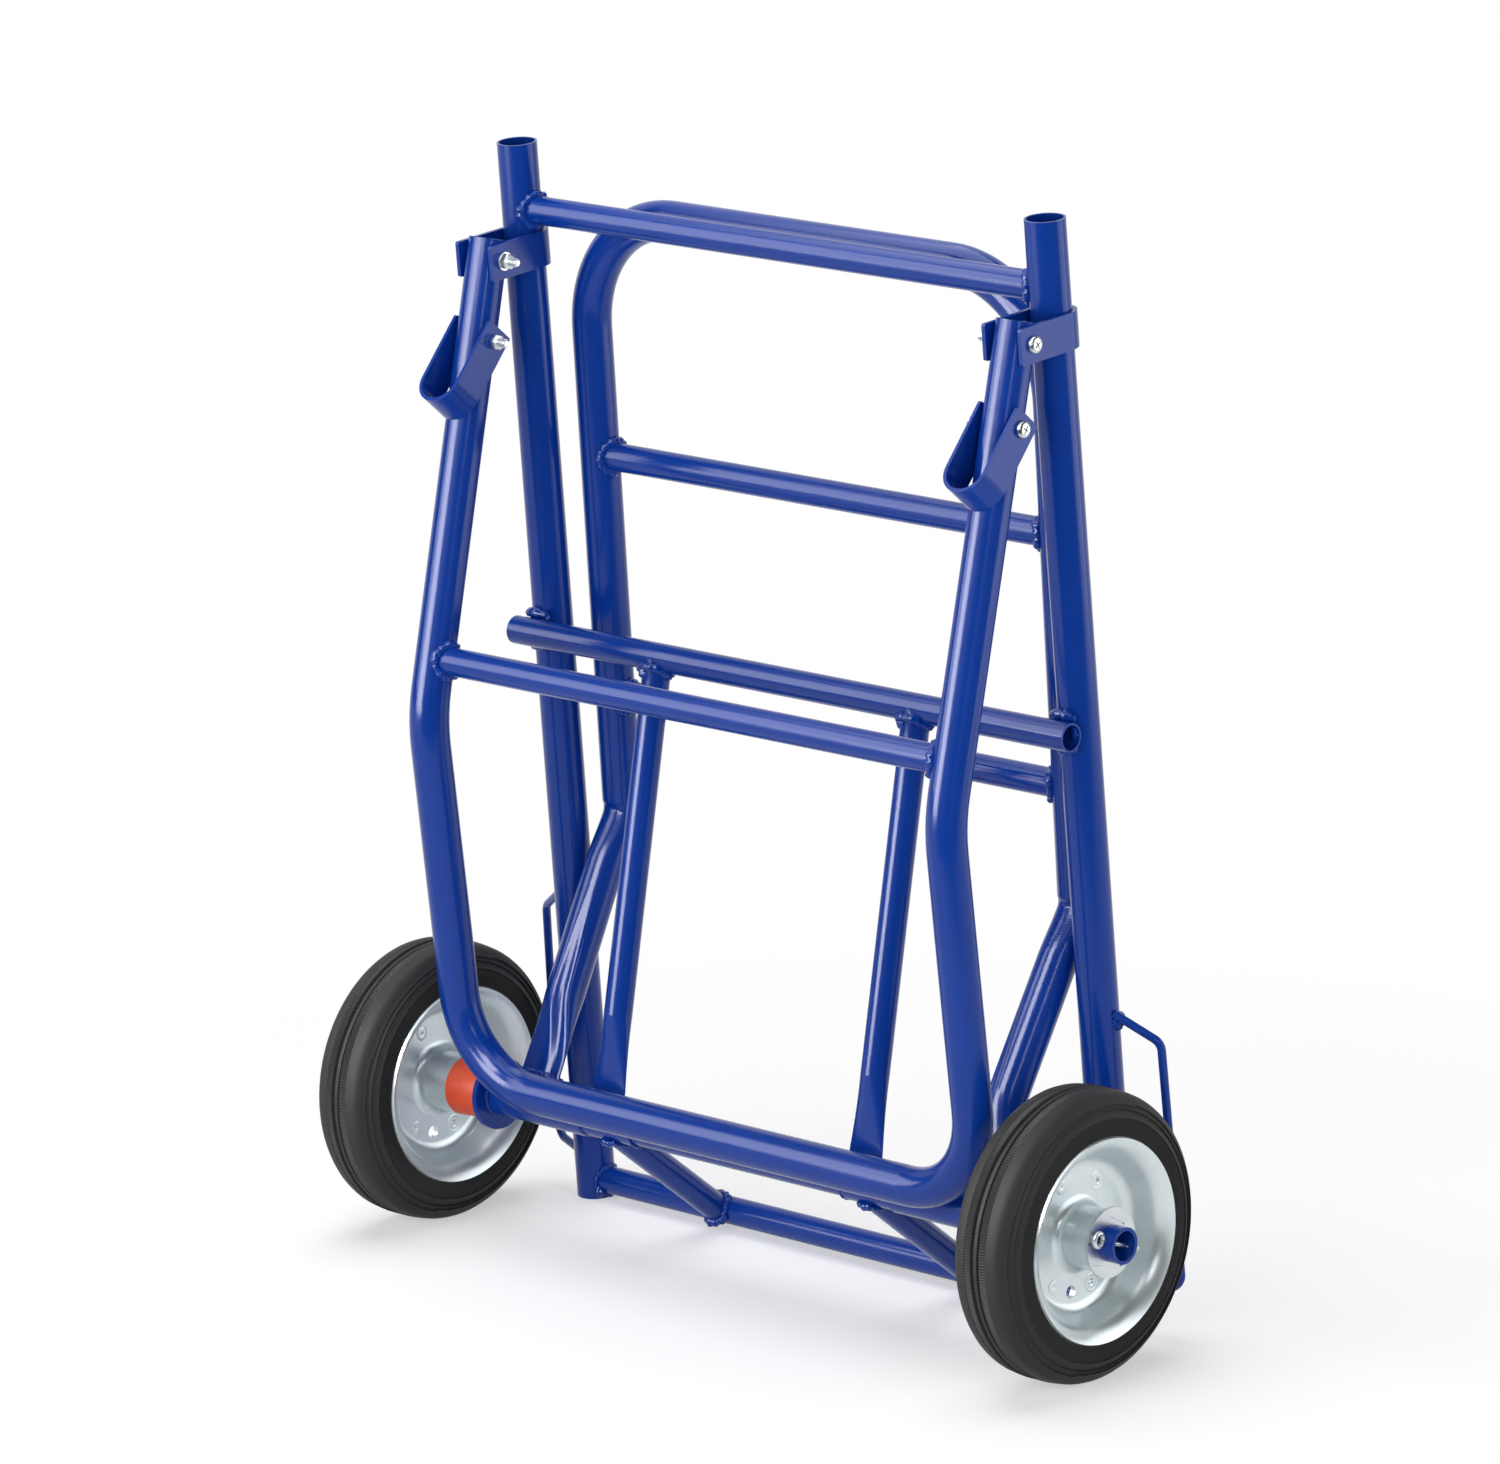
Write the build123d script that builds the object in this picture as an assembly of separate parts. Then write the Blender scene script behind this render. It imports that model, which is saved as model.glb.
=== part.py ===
from build123d import *
import math
import os

os.makedirs("parts", exist_ok=True)

# Sizes are in millimetres and degrees. Every piece is drawn in the frame of the truck itself:
# X to the right, Y to the back, Z along the uprights, zero at the middle of the axle.
# One placing at the end leans the truck on its feet and sets it on the floor.

# Tube stock
tube_od = 28.0
tube_wall = 1.5
bar_od = 20.0
bar_wall = 1.5

# Upright frame
upright_top_x = 243.5
upright_foot_x = 248.0
upright_y = 97.8
upright_top = 666.0
lean = 4.4
top_bar_z = 618.7
middle_bar_z = 318.2
middle_bar_half = 259.0
middle_bar_sink = 0.5
bottom_bar_z = -94.2

# Struts with pressed lower ends, and plain braces
strut_x = 121.0
strut_flat_width = 30.0
strut_flat_thick = 3.0
strut_flat_length = 24.0
strut_blend_length = 52.0
brace_x = 121.0
brace_top_drop = 6.0
brace_foot_drop = 3.0
brace_top_in = 6.0
brace_foot_in = 3.0

# Axle and what is fixed on it
axle_od = 25.4
axle_wall = 2.5
axle_past_pin = 7.5
collar_od = 28.0
collar_x = 122.5
collar_length = 45.0
washer_od = 48.0
washer_thick = 2.4
washer_slit = 1.2
washer_slit_deep = 0.9
washer_slits = (((-20.5, -9.3), (9.0, -18.5)), ((0.0, 18.2), (14.0, 9.0)))
pin_leg_od = 4.0
pin_slit = 0.5
pin_eye_od = 12.0
pin_eye_wire = 3.4
pin_past_axle = 9.0
pin_from_washer = 4.5
pin_tilt = 25.0
pin_neck = 3.0
pin_eye_sink = 1.0

# Wheel guards of bent wire
guard_wire = 6.0
guard_out = 42.0
guard_gap = 7.8
guard_top = 118.5
guard_bottom = -76.8
guard_slope_top = 13.0
guard_slope_bottom = 18.0
guard_bend = 14.0

# Load frame
load_side_gap = 1.5
load_foot_x = 205.0
load_y = 116.4
load_tilt = 1.2
load_top_z = 617.6
load_corner = 85.0
load_bend_z = 184.6
load_bend = 60.0
load_flat_width = 42.0
load_flat_thick = 6.0
load_flat_length = 16.0
load_blend_length = 58.0
load_flat_sink = 1.0
load_end_lap = 2.0
load_crease_in = 4.0
load_crease_half = 11.0
load_crease_deep = 1.9
load_dent_deep = 4.0
load_upper_bar_z = 441.5
load_lower_bar_z = 266.8
sleeve_od = 30.0
sleeve_in = 146.0
flange_in = 235.5
flange_thick = 4.0
flange_od = 51.0

# Folding handle
hinge_y = 60.0
hinge_z = 591.2
handle_end = 14.0
handle_bend_x = 241.5
handle_bend_y = -35.0
handle_bend_z = 285.2
handle_bend = 120.0
handle_bar_x = 241.5
handle_bar_z = 17.5
handle_corner = 65.0
handle_bar_up = 279.0
latch_from_hinge = 56.0

# Hinge straps and latch straps
strap_thick = 3.0
strap_width = 25.0
hinge_strap_end = 12.0
latch_thick = 2.5
latch_width = 25.0
latch_depth = 55.5
latch_end = 10.0
latch_angle = 27.6
latch_loose = 0.6
strap_corner = 1.5

# Bolts and nuts
bolt_od = 6.0
bolt_past_nut = 7.0
head_od = 12.0
head_high = 3.6
head_round = 2.4
nut_flats = 10.0
nut_high = 5.0
plain_washer_od = 13.0
plain_washer_thick = 1.2

# Wheels
wheel_x = 301.0
tyre_od = 200.0
tyre_width = 55.0
side_down = 19.0
tread_half = 15.0
tread_drop = 0.8
tread_groove_half = 3.6
tread_groove_slope = 0.7
tread_groove_deep = 3.0
tread_rib_half = 1.2
tread_rib_slope = 0.4
tread_rib_down = 1.5
bulge_in = 0.4
bulge_up = 4.5
shoulder = ((2.0, 13.0), (5.2, 7.5), (9.0, 3.0))
sheet = 2.0
hub_mid_r = 20.0
hub_half = 30.0
hub_fillet = 8.0
disc_r = 52.0
disc_fillet = 7.0
bevel_r = 65.5
bevel_out = 25.0
lip_r = 70.2
lip_out = 27.6
lip_fillet = 2.5
feature_r = 39.0
rivet_head_od = 10.5
rivet_head_high = 1.0
rivet_od = 5.0
rivet_angles = (101.5, 221.5, 341.5)
dimple_hole_od = 5.0
dimple_angles = (37.5, 163.0)
valve_hole_od = 9.0
valve_angle = 194.0
bush_taper_od = 38.0

# Clearances between pieces
axle_gap = 0.1
end_gap = 0.3
strap_gap = 0.3
bolt_gap = 0.1
stop_gap = 0.4
seat_gap = 0.05

# Values that follow from the sizes above
tube_r = tube_od / 2
bar_r = bar_od / 2
axle_r = axle_od / 2
tyre_r = tyre_od / 2
collar_r = collar_od / 2
sleeve_r = sleeve_od / 2
bolt_r = bolt_od / 2
lean_sin = math.sin(math.radians(lean))
lean_cos = math.cos(math.radians(lean))
upright_low = -(tyre_r + (upright_y - tube_r) * lean_sin) / lean_cos
middle_bar_y = upright_y - tube_r - bar_r + middle_bar_sink
flange_out = flange_in + flange_thick
load_x = upright_top_x - tube_od - load_side_gap
hub_in = wheel_x - hub_half
hub_out = wheel_x + hub_half
washer_in = hub_out + end_gap
washer_out = washer_in + washer_thick
pin_x = washer_out + pin_from_washer
axle_half = pin_x + axle_past_pin


def rod(a, b, r):
    """Solid round bar between two points."""
    a = Vector(a)
    b = Vector(b)
    return Solid.make_cylinder(r, (b - a).length, Plane(a, z_dir=b - a))


def pipe(a, b, od, wall):
    """Straight tube between two points, open at both ends."""
    return rod(a, b, od / 2) - rod(a, b, od / 2 - wall)


def bent(points, radii, r):
    """Round bar along a line with rounded corners."""
    path = FilletPolyline(*points, radius=radii)
    start = Plane(path @ 0, z_dir=path % 0)
    return sweep(start * Circle(r), path=path)


def pressed(a, b, r, flat_half, thick_half, flat_length, blend_length):
    """Round bar from a to b whose end at b is pressed flat, wide along X."""
    a = Vector(a)
    b = Vector(b)
    length = (b - a).length
    base = Plane(a, x_dir=(1, 0, 0), z_dir=b - a)
    round_end = length - flat_length - blend_length
    flat_start = length - flat_length
    neck = loft([
        base * Pos(0, 0, round_end) * Circle(r),
        base * Pos(0, 0, flat_start) * Ellipse(flat_half, thick_half),
    ])
    flat = extrude(base * Pos(0, 0, flat_start) * Ellipse(flat_half, thick_half), amount=flat_length)
    return Solid.make_cylinder(r, round_end, base) + neck + flat


def turned(*points):
    """Ring turned about X from (x, radius) corner points."""
    face = make_face(Polyline(*[(p[0], 0, p[1]) for p in points], close=True))
    return revolve(face, axis=Axis.X, revolution_arc=360)


def strap(inner_half, thick, width, leg, end, corner):
    """U of flat bar: bend centre at zero, legs along -Y, bolt hole across X at the given distance."""
    outer_half = inner_half + thick
    ring = Circle(outer_half) - Circle(inner_half)
    bend = ring & Pos(0, outer_half) * Rectangle(4 * outer_half, 2 * outer_half)
    side = inner_half + thick / 2
    legs = Pos(side, -(leg + end) / 2) * Rectangle(thick, leg + end)
    legs += Pos(-side, -(leg + end) / 2) * Rectangle(thick, leg + end)
    body = extrude(bend + legs, amount=width / 2, both=True)
    tips = body.edges().filter_by(Axis.X).group_by(Axis.Y)[0]
    body = fillet(tips, corner)
    return body - rod((-2 * outer_half, -leg, 0), (2 * outer_half, -leg, 0), bolt_r + bolt_gap)


def bolt(start, length):
    """Round-headed bolt lying along -X, the underside of its head at the start point."""
    x, y, z = start
    head = fillet(
        rod((x + head_high, y, z), (x, y, z), head_od / 2).edges().group_by(Axis.X)[-1],
        head_round,
    )
    return head + rod((x, y, z), (x - length, y, z), bolt_r)


def nut(x, y, z):
    """Hexagon nut whose outer face is at x, with its axis along X."""
    face = Plane((x, y, z), x_dir=(0, 1, 0), z_dir=(-1, 0, 0))
    outline = RegularPolygon(nut_flats / 2, 6, major_radius=False) - Circle(bolt_r + seat_gap)
    return extrude(face * outline, amount=nut_high)


pieces = {}


def both_sides(name, shape):
    """Store a right-hand piece and its mirrored left-hand twin."""
    pieces["right_" + name] = shape
    pieces["left_" + name] = mirror(shape, about=Plane.YZ)


# Uprights: two straight tubes, a little wider apart at the feet, open at both ends.


def upright_x(z):
    """Distance of an upright's middle line from the middle of the truck at height z."""
    share = (z - upright_low) / (upright_top - upright_low)
    return upright_foot_x + (upright_top_x - upright_foot_x) * share


foot = (upright_x(upright_low - tube_od), upright_y, upright_low - tube_od)
stub = (upright_x(upright_top + tube_od), upright_y, upright_top + tube_od)
height = upright_top - upright_low
slab = Pos(upright_x(0), upright_y, upright_low + height / 2) * Box(4 * tube_od, 4 * tube_od, height)
upright_solid = rod(foot, stub, tube_r) & slab
upright_solids = upright_solid + mirror(upright_solid, about=Plane.YZ)
both_sides("upright", pipe(foot, stub, tube_od, tube_wall) & slab)

# Crossbars between the uprights, shaped to fit round them; the middle one passes in front.
for name, z in (("top_crossbar", top_bar_z), ("bottom_crossbar", bottom_bar_z)):
    bar = pipe((-upright_x(z), upright_y, z), (upright_x(z), upright_y, z), bar_od, bar_wall)
    pieces[name] = bar - upright_solids
middle_ends = ((-middle_bar_half, middle_bar_y, middle_bar_z), (middle_bar_half, middle_bar_y, middle_bar_z))
middle_solid = rod(*middle_ends, bar_r)
pieces["middle_crossbar"] = pipe(*middle_ends, bar_od, bar_wall) - upright_solids

# Axle tube and the two collars fixed on it.
axle = pipe((-axle_half, 0, 0), (axle_half, 0, 0), axle_od, axle_wall)
for side in (1, -1):
    pin_hole = rod((side * pin_x, -tyre_r, 0), (side * pin_x, tyre_r, 0), pin_leg_od / 2 + seat_gap)
    axle -= Rot(-pin_tilt, 0, 0) * pin_hole
pieces["axle_tube"] = axle
collar_in = collar_x - collar_length / 2
collar_out = collar_x + collar_length / 2
both_sides("axle_collar", turned(
    (collar_in, axle_r + seat_gap),
    (collar_out, axle_r + seat_gap),
    (collar_out, collar_r),
    (collar_in, collar_r),
))
collar_solid = rod((collar_in, 0, 0), (collar_out, 0, 0), collar_r)

# Struts: from the middle crossbar down to the front of the collars, pressed flat where they meet them.
strut_reach = math.hypot(middle_bar_y, middle_bar_z)
strut_off = collar_r - strut_flat_thick / 2
strut_turn = math.atan2(middle_bar_y, middle_bar_z) + math.asin(strut_off / strut_reach)
strut_length = math.sqrt(strut_reach ** 2 - strut_off ** 2)
strut_top = Vector(strut_x, middle_bar_y, middle_bar_z)
strut_way = Vector(0, -math.sin(strut_turn), -math.cos(strut_turn))
strut_foot = strut_top + strut_way * strut_length
strut = pressed(
    strut_top, strut_foot, bar_r, strut_flat_width / 2, strut_flat_thick / 2,
    strut_flat_length, strut_blend_length,
)
strut -= rod(strut_top, strut_foot - strut_way * (strut_flat_length + strut_blend_length), bar_r - bar_wall)
both_sides("strut", strut - middle_solid - collar_solid)

# Braces: from under the collars back and down to the bottom crossbar, shaped to fit round both.
brace_way = Vector(0, upright_y, bottom_bar_z).normalized()
brace_down = Vector(0, brace_way.Z, -brace_way.Y)
brace_top = Vector(brace_x, 0, 0) + brace_way * brace_top_in + brace_down * brace_top_drop
brace_foot = Vector(brace_x, upright_y, bottom_bar_z)
brace_foot += brace_down * brace_foot_drop - brace_way * brace_foot_in
brace = pipe(brace_top, brace_foot, bar_od, bar_wall)
bottom_solid = rod((0, upright_y, bottom_bar_z), (upright_foot_x, upright_y, bottom_bar_z), bar_r)
both_sides("brace", brace - collar_solid - bottom_solid)

# Wheel guards: wire hoops welded to the outsides of the uprights.
guard_x = upright_x(0) + guard_out
guard_y = tyre_r + guard_gap + guard_wire / 2
guard_points = [
    (upright_x(guard_top), upright_y, guard_top),
    (guard_x, guard_y, guard_top - guard_slope_top),
    (guard_x, guard_y, guard_bottom + guard_slope_bottom),
    (upright_x(guard_bottom), upright_y, guard_bottom),
]
both_sides("wheel_guard", bent(guard_points, guard_bend, guard_wire / 2) - upright_solid)

# Hinge straps: flat bar bent round each upright, carrying the handle bolts in front.
strap_half = tube_r + strap_gap
hinge_leg = upright_y - hinge_y
hinge_strap = strap(strap_half, strap_thick, strap_width, hinge_leg, hinge_strap_end, strap_corner)
hinge_x = upright_x(hinge_z)
both_sides("hinge_strap", Pos(hinge_x, upright_y, hinge_z) * hinge_strap)

# Hinge bolts, washers and nuts: heads outside, nuts inside.
strap_out = hinge_x + strap_half + strap_thick
strap_in = hinge_x - strap_half - strap_thick
hinge_bolt_length = strap_out - strap_in + plain_washer_thick + nut_high + bolt_past_nut
both_sides("hinge_bolt", bolt((strap_out, hinge_y, hinge_z), hinge_bolt_length))
hinge_nut_x = strap_in - plain_washer_thick
plain_washer = turned(
    (strap_in, bolt_r + bolt_gap),
    (hinge_nut_x, bolt_r + bolt_gap),
    (hinge_nut_x, plain_washer_od / 2),
    (strap_in, plain_washer_od / 2),
)
both_sides("hinge_washer", Pos(0, hinge_y, hinge_z) * plain_washer)
both_sides("hinge_nut", nut(hinge_nut_x, hinge_y, hinge_z))

# Load frame: one bent tube with pressed lower ends, drawn upright and then tipped back a little on the axle.
load_tip = Rot(-load_tilt, 0, 0)
load_bend_at = Vector(load_x, load_y, load_bend_z)
load_foot = Vector(load_foot_x, 0, 0)
load_way = (load_bend_at - load_foot).normalized()
flat_from = sleeve_r - load_flat_sink
blend_from = flat_from + load_flat_length + load_blend_length
load_leg = [load_foot + load_way * blend_from, load_bend_at, Vector(load_x, load_y, load_top_z)]
load_points = [Vector(-p.X, p.Y, p.Z) for p in load_leg] + load_leg[::-1]
load_radii = [load_bend, load_corner, load_corner, load_bend]
load_tube = bent(load_points, load_radii, tube_r) - bent(load_points, load_radii, tube_r - tube_wall)
load_end = pressed(
    load_leg[0] + load_way * load_end_lap, load_foot + load_way * flat_from, tube_r,
    load_flat_width / 2, load_flat_thick / 2, load_flat_length, load_blend_length,
)
load_end -= rod((0, 0, 0), (axle_half, 0, 0), sleeve_r)
crease_place = Plane(load_foot + load_way * blend_from, x_dir=(1, 0, 0), z_dir=-load_way)
dent_y = (tube_r + load_flat_thick / 2) / 2
crease = loft([
    crease_place * Pos(0, tube_r - load_crease_deep, load_blend_length / 8) * Ellipse(
        load_crease_half / 4, load_crease_deep / 2),
    crease_place * Pos(-load_crease_in / 2, dent_y, load_blend_length / 2) * Ellipse(
        3 * load_crease_half / 4, load_dent_deep),
    crease_place * Pos(-load_crease_in, load_flat_thick / 2, load_blend_length) * Ellipse(
        load_crease_half, load_crease_deep),
    crease_place * Pos(-load_crease_in, load_flat_thick / 2, load_blend_length + load_flat_length) * Ellipse(
        load_crease_half, load_crease_deep),
])
load_end -= crease
load_tube += load_end
load_tube += mirror(load_end, about=Plane.YZ)
pieces["load_frame_tube"] = load_tip * load_tube
for name, z in (("load_upper_crossbar", load_upper_bar_z), ("load_lower_crossbar", load_lower_bar_z)):
    bar = pipe((-load_x, load_y, z), (load_x, load_y, z), bar_od, bar_wall)
    for side in (-1, 1):
        bar -= rod((side * load_x, load_y, z - tube_od), (side * load_x, load_y, z + tube_od), tube_r)
    pieces[name] = load_tip * bar

# Pivot sleeves turn on the axle; a flange closes each one toward the wheel.
both_sides("pivot_sleeve", turned(
    (sleeve_in, axle_r + axle_gap),
    (flange_in, axle_r + axle_gap),
    (flange_in, sleeve_r),
    (sleeve_in, sleeve_r),
))
both_sides("sleeve_flange", turned(
    (flange_in, axle_r + axle_gap),
    (flange_out, axle_r + axle_gap),
    (flange_out, flange_od / 2),
    (flange_in, flange_od / 2),
))

# Handle: one bent tube hung from the hinge bolts, its bar resting just clear of the struts.
hinge = Vector(hinge_x, hinge_y, hinge_z)
handle_bend_at = Vector(handle_bend_x, handle_bend_y, handle_bend_z)
handle_way = (handle_bend_at - hinge).normalized()
strut_line_y = strut_top.Y + strut_way.Y / strut_way.Z * (handle_bar_z - middle_bar_z)
strut_front = (tube_r + strut_flat_thick / 2 + stop_gap) / math.cos(strut_turn)
handle_bar_y = strut_line_y - strut_front
handle_leg = [
    hinge - handle_way * handle_end,
    handle_bend_at,
    Vector(handle_bar_x, handle_bar_y, handle_bar_z),
]
handle_points = [Vector(-p.X, p.Y, p.Z) for p in handle_leg] + handle_leg[::-1]
handle_radii = [handle_bend, handle_corner, handle_corner, handle_bend]
handle_tube = bent(handle_points, handle_radii, tube_r)
handle_tube -= bent(handle_points, handle_radii, tube_r - tube_wall)
latch_at = hinge + handle_way * latch_from_hinge
for spot in (hinge, latch_at):
    handle_tube -= rod((-wheel_x, spot.Y, spot.Z), (wheel_x, spot.Y, spot.Z), bolt_r + bolt_gap)
pieces["handle_tube"] = handle_tube
grip = hinge + handle_way * handle_bar_up
handle_bar = pipe((-grip.X, grip.Y, grip.Z), (grip.X, grip.Y, grip.Z), bar_od, bar_wall)
handle_leg_solid = rod(grip - handle_way * bar_od, grip + handle_way * bar_od, tube_r)
pieces["handle_crossbar"] = handle_bar - handle_leg_solid - mirror(handle_leg_solid, about=Plane.YZ)

# Latch straps: swing on bolts through the handle and drop over the upright stubs when it is up.
latch_x = latch_at.X
latch_half = tube_r + strap_gap + latch_loose
latch_leg = latch_depth - latch_half
latch_strap = strap(latch_half, latch_thick, latch_width, latch_leg, latch_end, strap_corner)
latch_turn = math.degrees(math.atan2(-handle_way.Y, -handle_way.Z)) + latch_angle
latch_place = Pos(latch_x, latch_at.Y, latch_at.Z) * Rot(90 - latch_turn, 0, 0) * Rot(0, 0, 180)
both_sides("latch_strap", latch_place * Pos(0, latch_leg, 0) * latch_strap)
latch_out = latch_x + latch_half + latch_thick + end_gap
latch_in = latch_x - latch_half - latch_thick - end_gap
latch_bolt_length = latch_out - latch_in + nut_high + bolt_past_nut
both_sides("latch_bolt", bolt((latch_out, latch_at.Y, latch_at.Z), latch_bolt_length))
both_sides("latch_nut", nut(latch_in, latch_at.Y, latch_at.Z))

# Wheels: rubber tyre held between two pressed discs that are riveted back to back.
sheet_corners = [
    Vector(hub_half, hub_mid_r),
    Vector(sheet / 2 + seat_gap, hub_mid_r),
    Vector(sheet / 2 + seat_gap, disc_r),
    Vector(bevel_out, bevel_r),
    Vector(lip_out, lip_r),
]
sheet_bends = [hub_fillet, disc_fillet, lip_fillet]


def beside(d):
    """Corners and bend radii of the disc line moved sideways by d, toward the tyre when d is positive."""
    ways = [(q - p).normalized() for p, q in zip(sheet_corners, sheet_corners[1:])]
    normals = [Vector(-w.Y, w.X) for w in ways]
    normals = [normals[0]] + normals + [normals[-1]]
    corners = []
    for p, m, n in zip(sheet_corners, normals, normals[1:]):
        both = m + n
        corners.append(p + both * (2 * d / both.length ** 2))
    radii = []
    for r, v, w in zip(sheet_bends, ways, ways[1:]):
        radii.append(r - d * math.copysign(1, v.X * w.Y - v.Y * w.X))
    return corners, radii


def outline(corners, radii):
    """Line with rounded corners in the (x, radius) plane."""
    return FilletPolyline(*[(p.X, 0, p.Y) for p in corners], radius=radii)


tyre_side = outline(*beside(sheet / 2))
open_side = outline(*beside(-sheet / 2))
ends = [Line(tyre_side @ 0, open_side @ 0), Line(tyre_side @ 1, open_side @ 1)]
rim = revolve(make_face(tyre_side.edges() + open_side.edges() + ends), axis=Axis.X, revolution_arc=360)


def on_disc(angle):
    """Place on the wheel disc, clockwise from the top as seen from outside."""
    turn = math.radians(angle)
    return Vector(0, feature_r * math.sin(turn), feature_r * math.cos(turn))


for angle in rivet_angles:
    spot = on_disc(angle)
    rim -= rod(spot - Vector(lip_out, 0, 0), spot + Vector(lip_out, 0, 0), rivet_od / 2 + seat_gap)
for angle in dimple_angles:
    spot = on_disc(angle)
    rim -= rod(spot - Vector(lip_out, 0, 0), spot + Vector(lip_out, 0, 0), dimple_hole_od / 2)
spot = on_disc(valve_angle)
rim -= rod(spot - Vector(lip_out, 0, 0), spot + Vector(lip_out, 0, 0), valve_hole_od / 2)
wheel_place = Pos(wheel_x, 0, 0)
both_sides("rim_outer", wheel_place * rim)
both_sides("rim_inner", wheel_place * mirror(rim, about=Plane.YZ))
rivet_reach = sheet + seat_gap
for count, angle in enumerate(rivet_angles, 1):
    spot = on_disc(angle)
    rivet = rod(spot - Vector(rivet_reach, 0, 0), spot + Vector(rivet_reach, 0, 0), rivet_od / 2)
    for way in (1, -1):
        seat = spot + Vector(way * rivet_reach, 0, 0)
        rivet += rod(seat, seat + Vector(way * rivet_head_high, 0, 0), rivet_head_od / 2)
    both_sides("wheel_rivet_" + str(count), wheel_place * rivet)

# Tyre: flat tread with a ribbed groove, round shoulders, bead seated in the channel between the discs.
seat_corners, seat_bends = beside(sheet / 2 + seat_gap)
seat = outline(seat_corners[2:], seat_bends[2:])
tyre_half = tyre_width / 2
tyre_wall = Polyline(
    seat @ 1,
    (tyre_half - bulge_in, 0, lip_r + bulge_up),
    (tyre_half, 0, tyre_r - side_down),
    *[(tyre_half - inward, 0, tyre_r - down) for inward, down in shoulder],
    (tread_half, 0, tyre_r - tread_drop),
    (tread_groove_half, 0, tyre_r),
    (tread_groove_half - tread_groove_slope, 0, tyre_r - tread_groove_deep),
    (tread_rib_half + tread_rib_slope, 0, tyre_r - tread_groove_deep),
    (tread_rib_half, 0, tyre_r - tread_rib_down),
    (0, 0, tyre_r - tread_rib_down),
    seat @ 0,
)
tyre = revolve(make_face(seat.edges() + tyre_wall.edges()), axis=Axis.X, revolution_arc=360)
both_sides("tyre", wheel_place * (tyre + mirror(tyre, about=Plane.YZ)))

# Bushes between hub and axle: a plain one outside, one inside that reaches out to the sleeve flange.
hub_bore = hub_mid_r - sheet / 2 - seat_gap
bush_foot = wheel_x + end_gap
both_sides("outer_bush", turned(
    (bush_foot, axle_r + axle_gap),
    (hub_out, axle_r + axle_gap),
    (hub_out, hub_bore),
    (bush_foot, hub_bore),
))
bush_end = flange_out + end_gap
hub_outer = hub_mid_r + sheet / 2
both_sides("inner_bush", turned(
    (bush_end, axle_r + axle_gap),
    (wheel_x - end_gap, axle_r + axle_gap),
    (wheel_x - end_gap, hub_bore),
    (hub_in - seat_gap, hub_bore),
    (hub_in - seat_gap, hub_outer),
    (bush_end, bush_taper_od / 2),
))

# Washers and split pins that keep the wheels on.
end_washer = turned(
    (washer_in, axle_r + seat_gap),
    (washer_out, axle_r + seat_gap),
    (washer_out, washer_od / 2),
    (washer_in, washer_od / 2),
)
for p, q in washer_slits:
    middle = ((p[0] + q[0]) / 2, (p[1] + q[1]) / 2)
    turn = math.degrees(math.atan2(q[1] - p[1], q[0] - p[0]))
    slit = Box(2 * washer_slit_deep, math.dist(p, q), washer_slit)
    end_washer -= Pos(washer_out, middle[0], middle[1]) * Rot(turn, 0, 0) * slit
both_sides("axle_washer", end_washer)
pin_eye_mid = (pin_eye_od - pin_eye_wire) / 2
eye_at = -(axle_r + seat_gap + pin_eye_od / 2)
eye_place = Plane((pin_x, eye_at, 0), z_dir=(1, 0, 0))
pin_end = axle_r + pin_past_axle
slit_length = axle_od + pin_past_axle - pin_neck
pin = rod((pin_x, eye_at + pin_eye_mid - pin_eye_sink, 0), (pin_x, pin_end, 0), pin_leg_od / 2)
pin -= Pos(pin_x, pin_end, 0) * Box(2 * pin_leg_od, 2 * slit_length, pin_slit)
pin += Solid.make_torus(pin_eye_mid, pin_eye_wire / 2, eye_place)
both_sides("split_pin", Rot(-pin_tilt, 0, 0) * pin)

# Lean, lift to the floor and centre the footprint, then save every piece.
back_reach = (upright_y + tube_r) * lean_cos - upright_low * lean_sin
axle_y = (tyre_r - back_reach) / 2
place = Pos(0, axle_y, tyre_r) * Rot(lean, 0, 0)
for name, shape in pieces.items():
    solids = (place * shape).solids()
    if len(solids) != 1:
        raise ValueError(name + " is " + str(len(solids)) + " solids")
    export_step(solids[0], "parts/" + name + ".step")
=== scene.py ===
import math
import random

import bmesh
import bpy
from mathutils import Matrix, Vector


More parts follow.
